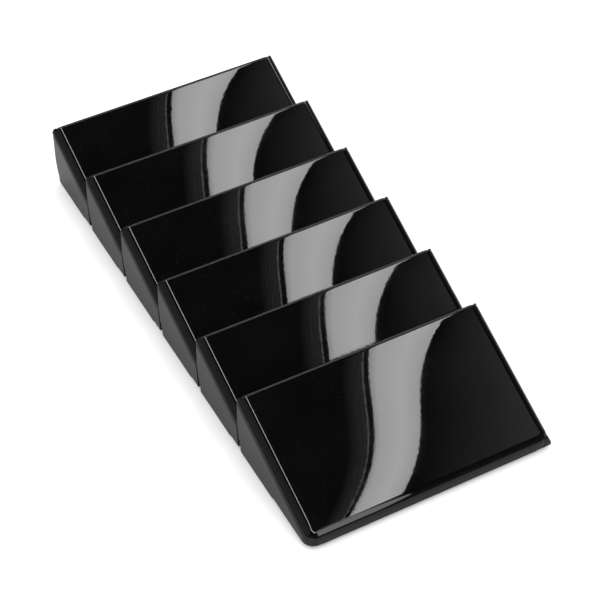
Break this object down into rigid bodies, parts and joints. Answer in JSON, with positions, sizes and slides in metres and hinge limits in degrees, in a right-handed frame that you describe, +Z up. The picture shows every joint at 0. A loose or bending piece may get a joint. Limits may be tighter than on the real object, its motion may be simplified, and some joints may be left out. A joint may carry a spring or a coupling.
{
  "type": "countertop napkin dispenser",
  "caption": "Low countertop napkin dispenser: a long tray of bays, each under its own wedge-shaped lid that lifts on a hinge at its low end.",
  "frame": {"origin": "on the counter under the middle of the row's bounding box", "axes": "+Z up, +Y towards the high end of the row and the lids' lifting edges, +X to the right seen from the low end"},
  "size_m": [0.2, 0.432, 0.0549],
  "materials": {
    "lid": "high gloss black",
    "tray": "fine matte black",
    "divider": "fine matte black",
    "rod": "drawn stainless",
    "screw": "plain",
    "foot": "matte"
  },
  "bodies": {
    "base": {"tray": "tray", "divider_1": "divider", "divider_2": "divider", "divider_3": "divider", "divider_4": "divider", "divider_5": "divider", "divider_screws": "screw", "hinge_rod_1": "rod", "hinge_rod_2": "rod", "hinge_rod_3": "rod", "hinge_rod_4": "rod", "hinge_rod_5": "rod", "hinge_rod_6": "rod", "foot_rear_left": "foot", "foot_rear_right": "foot", "foot_front_left": "foot", "foot_front_right": "foot"},
    "lid_1_body": {"lid_1": "lid"},
    "lid_2_body": {"lid_2": "lid"},
    "lid_3_body": {"lid_3": "lid"},
    "lid_4_body": {"lid_4": "lid"},
    "lid_5_body": {"lid_5": "lid"},
    "lid_6_body": {"lid_6": "lid"}
  },
  "joints": [
    {"name": "lid_1_hinge", "type": "hinge", "parent": "base", "child": "lid_1_body", "pos_m": [0, 0.1556, 0.02672], "axis": [1, 0, 0], "range_deg": [0, 64]},
    {"name": "lid_2_hinge", "type": "hinge", "parent": "base", "child": "lid_2_body", "pos_m": [0, 0.0906, 0.02672], "axis": [1, 0, 0], "range_deg": [0, 64]},
    {"name": "lid_3_hinge", "type": "hinge", "parent": "base", "child": "lid_3_body", "pos_m": [0, 0.0256, 0.02672], "axis": [1, 0, 0], "range_deg": [0, 64]},
    {"name": "lid_4_hinge", "type": "hinge", "parent": "base", "child": "lid_4_body", "pos_m": [0, -0.0394, 0.02672], "axis": [1, 0, 0], "range_deg": [0, 64]},
    {"name": "lid_5_hinge", "type": "hinge", "parent": "base", "child": "lid_5_body", "pos_m": [0, -0.1044, 0.02672], "axis": [1, 0, 0], "range_deg": [0, 64]},
    {"name": "lid_6_hinge", "type": "hinge", "parent": "base", "child": "lid_6_body", "pos_m": [0, -0.2103, 0.0086], "axis": [1, 0, 0], "range_deg": [0, 80]}
  ]
}
